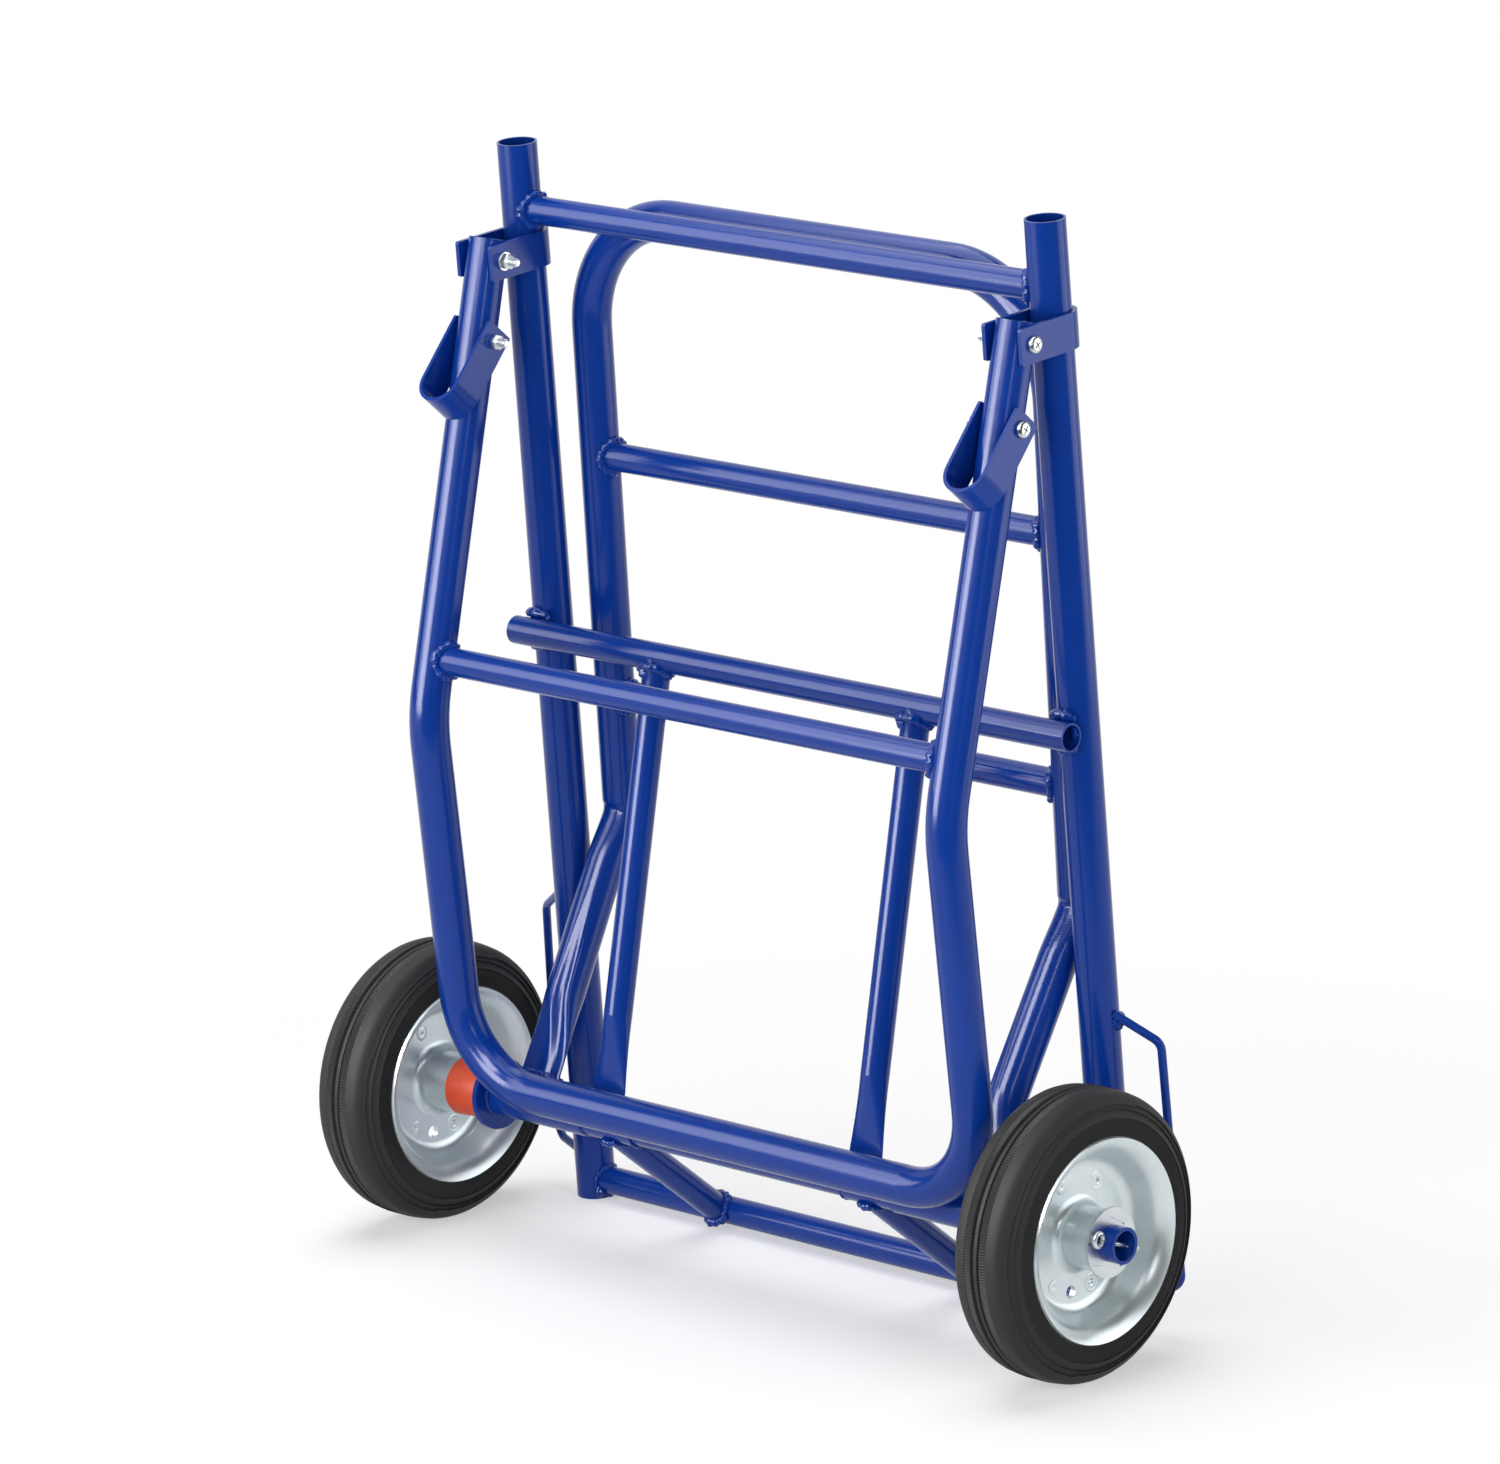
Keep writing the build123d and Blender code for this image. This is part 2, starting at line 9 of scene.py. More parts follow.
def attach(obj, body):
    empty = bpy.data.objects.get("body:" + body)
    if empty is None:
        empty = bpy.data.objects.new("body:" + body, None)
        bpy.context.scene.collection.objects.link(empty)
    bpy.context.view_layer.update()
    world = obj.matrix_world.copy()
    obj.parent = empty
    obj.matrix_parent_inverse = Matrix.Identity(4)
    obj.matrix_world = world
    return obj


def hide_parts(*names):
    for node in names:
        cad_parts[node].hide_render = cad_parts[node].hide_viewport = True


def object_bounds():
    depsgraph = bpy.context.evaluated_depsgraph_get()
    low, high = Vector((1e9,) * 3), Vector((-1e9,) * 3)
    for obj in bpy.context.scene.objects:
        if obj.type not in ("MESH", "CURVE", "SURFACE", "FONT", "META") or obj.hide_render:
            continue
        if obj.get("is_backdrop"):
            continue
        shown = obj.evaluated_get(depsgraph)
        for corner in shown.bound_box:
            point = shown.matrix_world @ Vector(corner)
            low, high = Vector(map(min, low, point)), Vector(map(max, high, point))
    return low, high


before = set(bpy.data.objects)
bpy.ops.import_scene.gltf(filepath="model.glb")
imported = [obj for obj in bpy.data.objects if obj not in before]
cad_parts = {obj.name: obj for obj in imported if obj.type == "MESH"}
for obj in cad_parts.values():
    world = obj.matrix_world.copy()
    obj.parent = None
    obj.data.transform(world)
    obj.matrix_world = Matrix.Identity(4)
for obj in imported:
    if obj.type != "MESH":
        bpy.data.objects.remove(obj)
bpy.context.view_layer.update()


# Blue tube work: the uprights, crossbars, struts, braces, axle, load frame and handle.
# Round steel tube, bent, pressed and welded, then powder coated in a glossy ultramarine blue
# whose surface has the faint orange peel of sprayed and baked paint.

deep_blue = (0.0016, 0.036, 0.275)
pale_blue = (0.0024, 0.042, 0.315)


class Finish:
    """One socket of a finish; sums and products of it become Math nodes."""

    def __init__(self, tree, socket=None):
        self.tree = tree
        self.socket = socket

    def node(self, kind, settings, inputs, out=0):
        """Add a node of one kind: first its settings, then values or links for its inputs."""
        made = self.tree.nodes.new("ShaderNode" + kind)
        for key, value in settings.items():
            setattr(made, key, value)
        for key, value in inputs.items():
            if isinstance(value, Finish):
                self.tree.links.new(value.socket, made.inputs[key])
            else:
                made.inputs[key].default_value = value
        return Finish(self.tree, made.outputs[out] if made.outputs else None)

    def math(self, operation, first, second):
        return self.node("Math", {"operation": operation}, {0: first, 1: second})

    def __add__(self, other):
        return self.math("ADD", self, other)

    def __radd__(self, other):
        return self.math("ADD", other, self)

    def __sub__(self, other):
        return self.math("SUBTRACT", self, other)

    def __rsub__(self, other):
        return self.math("SUBTRACT", other, self)

    def __mul__(self, other):
        return self.math("MULTIPLY", self, other)

    def __rmul__(self, other):
        return self.math("MULTIPLY", other, self)


def new_finish(name):
    """An empty finish: its material, a start for its nodes, and the place on the piece."""
    material = bpy.data.materials.new(name)
    material.use_nodes = True
    material.node_tree.nodes.clear()
    start = Finish(material.node_tree)
    return material, start, start.node("TexCoord", {}, {}, out="Object")


def coat(start, inputs):
    """End a finish in one surface shader."""
    shader = start.node("BsdfPrincipled", {}, inputs)
    start.node("OutputMaterial", {}, {"Surface": shader})


def blend_colours(start, share, first, second):
    """Mix two colours by a share from 0 to 1."""
    colours = {0: share, 6: (*first, 1.0), 7: (*second, 1.0)}
    return start.node("Mix", {"data_type": "RGBA"}, colours, out=2)


def blue_paint(name, peel_deep, rough_low):
    """Powder coat with a cloudy tone and a fine orange peel of the given depth."""
    material, start, place = new_finish(name)
    cloud = start.node("TexNoise", {}, {"Vector": place, "Scale": 14.0, "Detail": 4.0})
    peel = start.node("TexNoise", {}, {"Vector": place, "Scale": 520.0, "Detail": 2.0, "Roughness": 0.4})
    grit = start.node("TexNoise", {}, {"Vector": place, "Scale": 1900.0, "Detail": 1.0})
    bump = start.node("Bump", {}, {"Strength": 1.0, "Distance": peel_deep, "Height": peel + 0.25 * grit})
    coat(start, {
        "Base Color": blend_colours(start, cloud, deep_blue, pale_blue),
        "Roughness": rough_low + 0.08 * cloud,
        "IOR": 1.36,
        "Normal": bump,
    })
    return material


tube_paint = blue_paint("blue_tube_paint", peel_deep=0.00003, rough_low=0.15)
blue_nodes = [
    "top_crossbar", "middle_crossbar", "bottom_crossbar", "axle_tube", "load_upper_crossbar",
    "load_lower_crossbar", "handle_tube", "handle_crossbar",
]
blue_pairs = ["upright", "axle_collar", "strut", "brace", "pivot_sleeve", "sleeve_flange"]


def dress(names, material):
    """Give carried-over solids their finish."""
    for name in names:
        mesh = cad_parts[name].data
        mesh.materials.clear()
        mesh.materials.append(material)


def both(*names):
    """Left and right names of paired pieces."""
    return [side + name for name in names for side in ("left_", "right_")]


dress(blue_nodes + both(*blue_pairs), tube_paint)


# Bent flat bar: hinge straps and latch straps.
# Cold-bent mild steel under the same blue coat, a little duller on the flat faces.

bar_paint = blue_paint("blue_bar_paint", peel_deep=0.00004, rough_low=0.19)
dress(both("hinge_strap", "latch_strap"), bar_paint)


# Weld beads where the tubes of the main frame meet.
# Gas-shielded steel beads, rippled along their length, with lumps where the torch stopped.
# They are painted over with the frame, and the paint runs a little thicker on them.

lean = math.radians(4.4)
axle_at = Vector((0.0, -0.00983, 0.100))
stand = Matrix.Translation(axle_at) @ Matrix.Rotation(lean, 4, "X")
weld_paint = blue_paint("blue_weld_paint", peel_deep=0.00012, rough_low=0.08)
weld_random = random.Random(7)
weld_crease = 80.0
x_way = Vector((1, 0, 0))
y_way = Vector((0, 1, 0))
z_way = Vector((0, 0, 1))


def on_side(side, point):
    """A point or direction of the right side on the side asked for: -1 is left, 1 is right."""
    return Vector((side * point.x, point.y, point.z))


def add_shape(target, shape):
    """Move a finished shape into a larger one."""
    mesh = bpy.data.meshes.new("moved_shape")
    shape.to_mesh(mesh)
    shape.free()
    target.from_mesh(mesh)
    bpy.data.meshes.remove(mesh)


def fit(name, shape, finish, body, stands_for=(), crease=35.0):
    """Turn a shape drawn in the truck's own frame into a placed piece of the model."""
    bmesh.ops.transform(shape, matrix=stand, verts=shape.verts)
    bmesh.ops.remove_doubles(shape, verts=shape.verts, dist=0.000001)
    bmesh.ops.recalc_face_normals(shape, faces=shape.faces)
    mesh = bpy.data.meshes.new(name)
    shape.to_mesh(mesh)
    shape.free()
    mesh.shade_smooth()
    mesh.set_sharp_from_angle(angle=math.radians(crease))
    mesh.materials.append(finish)
    piece = bpy.data.objects.new(name, mesh)
    bpy.context.scene.collection.objects.link(piece)
    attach(piece, body)
    if stands_for:
        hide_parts(*stands_for)


ripple_waves = ((0.12, 2), (0.14, 5), (0.16, 15))
ripple_jitter = 0.07
bead_sides = 8
bead_lift = 0.15
bead_from = 0.05
ring_steps = 64
face_rod_r = 0.0006
run_step = 0.55
run_least = 6
run_end = 0.04
run_taper = 0.35
tack_steps = 48
tack_loop = 10.0
tack_deep = 1.2
lump_waves = (5, 6, 5)
lump_swell = 0.07


def ripple(count):
    """Swelling of a bead along its length, as a list of factors that closes on itself."""
    starts = [weld_random.uniform(0.0, math.tau) for _ in ripple_waves]
    factors = []
    for step in range(count):
        turn = math.tau * step / count
        swell = sum(high * math.sin(times * turn + at) for (high, times), at in zip(ripple_waves, starts))
        factors.append(1.0 + swell + weld_random.uniform(-ripple_jitter, ripple_jitter))
    return factors


def bead_ring(loop, radius, steps):
    """Round bead closed into a loop about Z."""
    shape = bmesh.new()
    section = bmesh.ops.create_circle(shape, segments=bead_sides, radius=radius)["verts"]
    bmesh.ops.rotate(shape, cent=(0, 0, 0), matrix=Matrix.Rotation(math.pi / 2, 3, "X"), verts=section)
    bmesh.ops.translate(shape, vec=(loop, 0, 0), verts=section)
    bmesh.ops.spin(shape, geom=shape.verts[:] + shape.edges[:], cent=(0, 0, 0), axis=(0, 0, 1),
                   angle=math.tau, steps=steps, use_merge=True)
    return shape


def ring_weld(target, bar_at, bar_way, bar_r, tube_at, tube_way, tube_r, size, rise=1.0):
    """Bead round a bar where its end, coming along bar_way, meets the side of a tube.

    The bead follows the joint, but climbs no more than the rise past where the two first meet.
    """
    shape = bead_ring(bar_r, size, ring_steps)
    factors = ripple(ring_steps)
    way = bar_way.normalized()
    tube_line = tube_way.normalized()
    first = tube_line.cross(way).normalized()
    second = way.cross(first)
    near = bar_at - tube_at
    near = near - tube_line * near.dot(tube_line)
    furthest = near.length - tube_r + rise
    flat_way = way - tube_line * way.dot(tube_line)
    lift = bead_lift * size
    for vert in shape.verts:
        turn = math.atan2(vert.co.y, vert.co.x)
        swell = factors[round(turn / math.tau * ring_steps) % ring_steps]
        outward = first * math.cos(turn) + second * math.sin(turn)
        edge = bar_at + outward * bar_r
        start = edge - tube_at
        flat_start = start - tube_line * start.dot(tube_line)
        a = flat_way.length_squared
        b = flat_way.dot(flat_start)
        c = flat_start.length_squared - tube_r ** 2
        reach = (-b - math.sqrt(max(b * b - a * c, 0.0))) / a
        seat = edge + way * min(reach, furthest)
        off = math.hypot(vert.co.x, vert.co.y) - bar_r
        vert.co = seat + outward * (off * swell + lift) - way * (vert.co.z * swell + lift)
    add_shape(target, shape)


def flat_weld(target, at, bar_way, bar_r, size):
    """Bead round a bar where its end meets a flat face, drawn as a rod too thin to bend the bead."""
    ring_weld(target, at - bar_way * bead_from, bar_way, bar_r, at, z_way, face_rod_r, size)


def extrude_ring(shape, ring):
    """Extrude a ring of points where it is, and give the new ring."""
    edges = [e for e in shape.edges if e.verts[0] in ring and e.verts[1] in ring]
    made = bmesh.ops.extrude_edge_only(shape, edges=edges)["geom"]
    return [g for g in made if isinstance(g, bmesh.types.BMVert)]


def run_weld(target, middle, half, size, bow=0.0):
    """Bead along X, swollen and rippled, bowed upward, sinking away at its two ends."""
    steps = max(run_least, int(2 * half / (run_step * size)))
    factors = ripple(steps + 1)
    shape = bmesh.new()
    rings = [bmesh.ops.create_circle(shape, segments=bead_sides, radius=1.0)["verts"]]
    for _ in range(steps):
        rings.append(extrude_ring(shape, rings[-1]))
    for step, ring in enumerate(rings):
        share = step / steps
        inside = min(max(share, run_end), 1.0 - run_end)
        swell = size * factors[step] * math.sin(math.pi * inside) ** run_taper
        at = middle + x_way * half * (2 * share - 1) + z_way * bow * math.sin(math.pi * share)
        for vert in ring:
            vert.co = at + Vector((0, vert.co.y, -vert.co.x)) * swell
    bmesh.ops.contextual_create(shape, geom=rings[0])
    bmesh.ops.contextual_create(shape, geom=rings[-1])
    add_shape(target, shape)


def tack_weld(target, middle, wide, high, size):
    """Flat loop of bead in the gap where two crossed tubes touch, facing the front."""
    shape = bead_ring(tack_loop, 1.0, tack_steps)
    factors = ripple(tack_steps)
    for vert in shape.verts:
        turn = math.atan2(vert.co.y, vert.co.x)
        swell = size * factors[round(turn / math.tau * tack_steps) % tack_steps]
        off = math.hypot(vert.co.x, vert.co.y) - tack_loop
        across = math.cos(turn) * (wide + off * swell)
        along = math.sin(turn) * (high + off * swell)
        vert.co = middle + Vector((across, tack_deep * vert.co.z * swell, along))
    add_shape(target, shape)


def blob_weld(target, middle, reach):
    """Lump of weld metal of the given half sizes along X, Y and Z."""
    shape = bmesh.new()
    bmesh.ops.create_icosphere(shape, subdivisions=4, radius=1.0)
    starts = [weld_random.uniform(0.0, math.tau) for _ in lump_waves]
    for vert in shape.verts:
        waves = [math.sin(times * n + at) for times, n, at in zip(lump_waves, vert.co, starts)]
        swell = 1.0 + lump_swell * sum(waves)
        vert.co = middle + Vector([n * half for n, half in zip(vert.co, reach)]) * swell
    add_shape(target, shape)


tube_r = 0.014
bar_r = 0.010
wire_r = 0.003
upright_y = 0.0978
upright_low = -0.10674
upright_top = 0.666
upright_foot_x = 0.248
upright_draw_in = 0.0045


def upright_x(z):
    """Distance of an upright's middle line from the middle of the truck."""
    return upright_foot_x - upright_draw_in * (z - upright_low) / (upright_top - upright_low)


top_bar_z = 0.6187
middle_bar = Vector((0, 0.0743, 0.3182))
bottom_bar = Vector((0, upright_y, -0.0942))
bar_bead = 0.0036
bottom_bar_bead = 0.0021
heel_off = Vector((-0.0125, -0.0090, -0.0065))
heel_half = (0.0042, 0.0040, 0.0046)
touch_y = 0.0838
ledge_out = 0.0012
ledge_up = 0.0108
ledge_bow = 0.0012

strut_x = 0.121
strut_off = 0.0125
strut_tilt = math.atan2(middle_bar.y, middle_bar.z) + math.asin(strut_off / middle_bar.length)
strut_way = Vector((0, -math.sin(strut_tilt), -math.cos(strut_tilt)))
strut_front = Vector((0, -math.cos(strut_tilt), math.sin(strut_tilt)))
strut_top = Vector((strut_x, middle_bar.y, middle_bar.z))
strut_foot = strut_top + strut_way * math.sqrt(middle_bar.length_squared - strut_off ** 2)
strut_lumps = (
    ((-0.0045, -0.0098, -0.0092), (0.0046, 0.0044, 0.0044)),
    ((0.0080, -0.0040, -0.0096), (0.0036, 0.0040, 0.0034)),
)
foot_bead_front = 0.001
foot_bead_back = 0.006
foot_bead_up = 0.012

collar_r = 0.014
collar_ends = (0.100, 0.145)
axle_bead_r = 0.0131
axle_bead = 0.0013
brace_way = bottom_bar.normalized()
brace_down = Vector((0, brace_way.z, -brace_way.y))
brace_from = 0.06
brace_top_drop = 0.006
brace_foot_drop = 0.003
brace_lumps = ((-0.0085, -0.0085, 0.0050), (0.0090, -0.0085, 0.0050))
brace_lump_half = (0.0036, 0.0034, 0.0042)

guard_top = 0.1185
guard_bottom = -0.0768
guard_y = 0.1108
guard_upper_out = 0.042
guard_lower_out = 0.0475
guard_upper_drop = 0.0195
guard_lower_rise = 0.0020
guard_upper_bend = Vector((upright_x(0.0) + guard_upper_out, guard_y, guard_top - guard_upper_drop))
guard_lower_bend = Vector((upright_x(0.0) + guard_lower_out, guard_y, guard_bottom + guard_lower_rise))
guard_bead = 0.0028
guard_lump_out = 0.0152
guard_lump_up = 0.002
guard_lump_half = (0.0042, 0.0038, 0.0052)

frame_welds = bmesh.new()
for side in (-1, 1):
    side_way = x_way * side
    for z, bead in ((top_bar_z, bar_bead), (bottom_bar.z, bottom_bar_bead)):
        at = Vector((side * upright_x(z), upright_y, z))
        ring_weld(frame_welds, at - side_way * bead_from, side_way, bar_r, at, z_way, tube_r, bead)
    touch = Vector((side * upright_x(middle_bar.z), touch_y, middle_bar.z))
    tack_weld(frame_welds, touch, wide=0.0095, high=0.0078, size=0.0026)
    for up in (-1, 1):
        ledge = touch + Vector((0, -ledge_out, up * ledge_up))
        run_weld(frame_welds, ledge, half=0.0105, size=0.0043, bow=up * ledge_bow)
    top = on_side(side, strut_top)
    ring_weld(frame_welds, top + strut_way * bead_from, -strut_way, bar_r, top, x_way, bar_r,
              size=0.0034, rise=0.0035)
    for off, half in strut_lumps:
        blob_weld(frame_welds, top + Vector(off), half)
    foot = on_side(side, strut_foot)
    run_weld(frame_welds, foot + strut_front * foot_bead_front, half=0.0135, size=0.0026)
    run_weld(frame_welds, foot - strut_way * foot_bead_up + y_way * foot_bead_back, half=0.013, size=0.0030)
    brace_side = side_way * strut_x
    brace_foot = brace_side + bottom_bar + brace_down * brace_foot_drop
    ring_weld(frame_welds, brace_foot - brace_way * brace_from, brace_way, bar_r, bottom_bar, x_way, bar_r,
              size=0.0030, rise=0.0050)
    for off in brace_lumps:
        blob_weld(frame_welds, brace_side + bottom_bar + Vector(off), brace_lump_half)
    brace_top = brace_side + brace_down * brace_top_drop
    ring_weld(frame_welds, brace_top + brace_way * brace_from, -brace_way, bar_r, Vector((0, 0, 0)), x_way,
              collar_r, size=0.0026)
    for x in collar_ends:
        inward = side_way if x < strut_x else -side_way
        flat_weld(frame_welds, side_way * x, inward, axle_bead_r, axle_bead)
    heel = Vector((upright_x(bottom_bar.z), bottom_bar.y, bottom_bar.z)) + heel_off
    blob_weld(frame_welds, on_side(side, heel), heel_half)
    for z, bend in ((guard_top, guard_upper_bend), (guard_bottom, guard_lower_bend)):
        at = Vector((side * upright_x(z), upright_y, z))
        out = on_side(side, bend) - at
        ring_weld(frame_welds, at + out, -out, wire_r, at, z_way, tube_r, guard_bead)
        lump = at + out.normalized() * guard_lump_out + z_way * guard_lump_up
        blob_weld(frame_welds, lump, guard_lump_half)
fit("main_frame_welds", frame_welds, weld_paint, "main_frame", crease=weld_crease)


# Wheel guards: a hoop of 6 mm wire behind each wheel, bent at two corners.
# Its ends are welded to the outside of the upright, and it is painted with the frame.

guard_corner = 0.010
guard_sink = 0.0006
wire_sides = 24
bend_steps = 12
tube_crease = 60.0


def round_corner(before, corner, after, radius, steps):
    """Points along an arc that rounds a corner of a path."""
    to_start = (before - corner).normalized()
    to_end = (after - corner).normalized()
    half = to_start.angle(to_end) / 2
    middle = corner + (to_start + to_end).normalized() * radius / math.sin(half)
    first = corner + to_start * radius / math.tan(half) - middle
    last = corner + to_end * radius / math.tan(half) - middle
    return [middle + first.slerp(last, step / steps) * radius for step in range(steps + 1)]


def straight_tube(radius, sides, count):
    """Tube along Z with a ring of points at each whole number from zero."""
    shape = bmesh.new()
    bmesh.ops.create_circle(shape, segments=sides, radius=radius)
    bmesh.ops.spin(shape, geom=shape.verts[:] + shape.edges[:], cent=(0, 0, 0), axis=(0, 0, 1),
                   dvec=(0, 0, 1), angle=0.0, steps=count - 1)
    return shape


def lay_along(shape, path, front_way):
    """Lay the rings of a straight tube along a path, its Y side toward front_way, and close its ends."""
    ends = [{v for v in shape.verts if round(v.co.z) == count} for count in (0, len(path) - 1)]
    for vert in shape.verts:
        count = round(vert.co.z)
        way = (path[min(count + 1, len(path) - 1)] - path[max(count - 1, 0)]).normalized()
        front = (front_way - way * way.dot(front_way)).normalized()
        vert.co = path[count] + way.cross(front) * vert.co.x + front * vert.co.y
    for ring in ends:
        edges = [e for e in shape.edges if e.verts[0] in ring and e.verts[1] in ring]
        cap = bmesh.ops.contextual_create(shape, geom=edges)["faces"]
        bmesh.ops.poke(shape, faces=cap)


guard_start = Vector((upright_x(guard_top) + tube_r - guard_sink, upright_y, guard_top))
guard_end = Vector((upright_x(guard_bottom) + tube_r - guard_sink, upright_y, guard_bottom))
guard_path = [guard_start]
guard_path += round_corner(guard_start, guard_upper_bend, guard_lower_bend, guard_corner, bend_steps)
guard_path += round_corner(guard_upper_bend, guard_lower_bend, guard_end, guard_corner, bend_steps)
guard_path.append(guard_end)
for side, name in ((1, "right_"), (-1, "left_")):
    wire = [on_side(side, point) for point in guard_path]
    shape = straight_tube(wire_r, wire_sides, len(wire))
    lay_along(shape, wire, y_way)
    node = name + "wheel_guard"
    fit(node + "_bent", shape, bar_paint, "main_frame", [node], crease=tube_crease)


# Bent tube of the load frame: painted steel like the rest, kinked sharply at the knees.
# Its slanting lower legs are pressed: each ends in a flat foot that is welded on a pivot sleeve,
# and a fold opens toward the inner corner of the foot.

load_tilt = math.radians(1.2)
tip = Matrix.Rotation(-load_tilt, 3, "X")
load_x = 0.214
load_y = 0.1164
load_top = 0.6176
load_corner = 0.085
load_bend = 0.024
load_foot_x = 0.205
load_knee_z = 0.1846
load_foot = Vector((load_foot_x, 0, 0))
load_knee = Vector((load_x, load_y, load_knee_z))
load_way = (load_knee - load_foot).normalized()
load_sides = 72
leg_steps = 96
corner_steps = 24
foot_from = 0.014
foot_half = 0.0188
foot_thick = 0.003
flat_upto = 0.028
round_from = 0.085
fold_full = 0.045
fold_top = 0.160
fold_deep = 0.0030
fold_deep_loss = 0.0012
fold_narrow = 0.0030
fold_spread = 0.0036
fold_in = 0.0056
fold_in_more = 0.0052
fold_root = 0.1
kink_from = 0.176
kink_at = 0.213
kink_end = 0.226
kink_dent = 0.26


def ease(value, low, high):
    """Smooth step from 0 at the low value to 1 at the high one."""
    share = min(max((value - low) / (high - low), 0.0), 1.0)
    return share * share * (3.0 - 2.0 * share)


def press(vert, along):
    """Move a point of the round tube to the pressed section at a distance along the leg."""
    flat = 1.0 - ease(along, flat_upto, round_from)
    lip = vert.co.y > 0.0
    vert.co.x *= 1.0 + (foot_half / tube_r - 1.0) * flat
    vert.co.y *= 1.0 + (foot_thick / tube_r - 1.0) * flat
    if lip:
        opened = 1.0 - ease(along, fold_full, fold_top)
        deep = (fold_deep - fold_deep_loss * flat) * opened
        reach = fold_narrow + fold_spread * opened
        aside = abs(vert.co.x + fold_in + fold_in_more * flat)
        vert.co.y -= deep * (1.0 - ease(aside, fold_root * reach, reach))
        kink = ease(along, kink_from, kink_at) * (1.0 - ease(along, kink_at, kink_end))
        vert.co.y *= 1.0 - kink_dent * kink


top_corner = Vector((load_x, load_y, load_top))
top_middle = Vector((0, load_y, load_top))
leg_end = load_foot + load_way * foot_from
knee = round_corner(load_foot, load_knee, top_corner, load_bend, bend_steps)
leg = [leg_end.lerp(knee[0], step / leg_steps) for step in range(leg_steps)] + knee
leg += round_corner(load_knee, top_corner, top_middle, load_corner, corner_steps)
load_path = leg + [on_side(-1, point) for point in leg[::-1]]
shape = straight_tube(tube_r, load_sides, len(load_path))
for vert in shape.verts:
    point = load_path[round(vert.co.z)]
    along = (Vector((abs(point.x), point.y, point.z)) - load_foot).length
    press(vert, along)
lay_along(shape, load_path, -y_way)
bmesh.ops.transform(shape, matrix=tip.to_4x4(), verts=shape.verts)
fit("load_frame_tube_pressed", shape, tube_paint, "load_frame", ["load_frame_tube"],
    crease=tube_crease)


# Weld beads of the load frame: round both crossbars, at the flanges, and the rough runs
# that hold the pressed feet of the bent tube on the pivot sleeves, all painted over.

load_bars = (0.4415, 0.2668)
load_front = load_way.cross(x_way).normalized()
foot_beads = ((0.0172, 0.0032), (0.0162, 0.0026), (0.0195, 0.0024))
foot_bead_off = 0.0042
foot_bead_halves = (0.0150, 0.0180)
sleeve_r = 0.015
flange_x = 0.2355
flange_bead = 0.0018
load_welds = bmesh.new()
for side in (-1, 1):
    side_way = x_way * side
    for z in load_bars:
        at = Vector((side * load_x, load_y, z))
        ring_weld(load_welds, tip @ (at - side_way * bead_from), side_way, bar_r, tip @ at, tip @ z_way,
                  tube_r, bar_bead)
    for face in (-1, 1):
        for lift, size in foot_beads:
            seat = load_foot + load_way * lift + load_front * face * foot_bead_off
            half = weld_random.uniform(*foot_bead_halves)
            run_weld(load_welds, tip @ on_side(side, seat), half, size)
    flat_weld(load_welds, side_way * flange_x, side_way, sleeve_r, flange_bead)
fit("load_frame_welds", load_welds, weld_paint, "load_frame", crease=weld_crease)


# Weld beads of the handle: one round each end of its crossbar, where the bar is shaped to fit
# the bent tube. Rippled steel, painted over with the handle.

hinge = Vector((0.243936, 0.060, 0.5912))
handle_bend_at = Vector((0.2415, -0.035, 0.2852))
handle_way = (handle_bend_at - hinge).normalized()
handle_bar_down = 0.279
handle_welds = bmesh.new()
for side in (-1, 1):
    side_way = x_way * side
    way = on_side(side, handle_way)
    at = on_side(side, hinge) + way * handle_bar_down
    ring_weld(handle_welds, at - side_way * bead_from, side_way, bar_r, at, way, tube_r, bar_bead)
fit("handle_welds", handle_welds, weld_paint, "handle", crease=weld_crease)


# Hinge bolts and latch bolts: cross-recessed pan heads outside, threaded ends inside.
# Cold-headed steel with rolled threads, bright zinc plated.

pale_zinc = (0.70, 0.73, 0.74)
dull_zinc = (0.50, 0.54, 0.57)


def zinc(name, pale, dull, rough_low, rough_span, spangle, bare):
    """Zinc plate: cloudy, faintly bluish, with fine crystals; less bare metal shows where it is hazy."""
    material, start, place = new_finish(name)
    cloud = start.node("TexNoise", {}, {"Vector": place, "Scale": 38.0, "Detail": 5.0, "Roughness": 0.6})
    crystal = start.node("TexVoronoi", {}, {"Vector": place, "Scale": spangle}, out="Distance")
    rub = start.node("TexNoise", {}, {"Vector": place, "Scale": 900.0, "Detail": 2.0})
    share = cloud * 1.3 - 0.15 + 0.25 * crystal
    bump = start.node("Bump", {}, {"Strength": 1.0, "Distance": 0.00003, "Height": rub + 0.6 * cloud})
    coat(start, {
        "Base Color": blend_colours(start, share, dull, pale),
        "Metallic": bare,
        "Roughness": rough_low + rough_span * cloud,
        "Normal": bump,
    })
    return material


bolt_zinc = zinc("bolt_zinc", pale_zinc, dull_zinc, rough_low=0.22, rough_span=0.16, spangle=900.0, bare=1.0)
bolt_sides = 48
bolt_r = 0.003
head_profile = (
    (0.0060, 0.0), (0.0060, 0.0012), (0.0057, 0.0022), (0.0050, 0.0030), (0.0040, 0.0034), (0.0034, 0.0035),
)
recess_arm = 0.0029
recess_half = 0.00048
recess_profile = ((1.0, 0.0036), (0.86, 0.0024), (0.45, 0.0014))
thread_r = 0.00262
thread_relief = 0.0003
thread_lead = 0.0005
thread_spare = 0.0012
thread_ridge = 0.00044
thread_pitch = 0.001
thread_steps = 20
tip_r = 0.0021
tip_chamfer = 0.0005


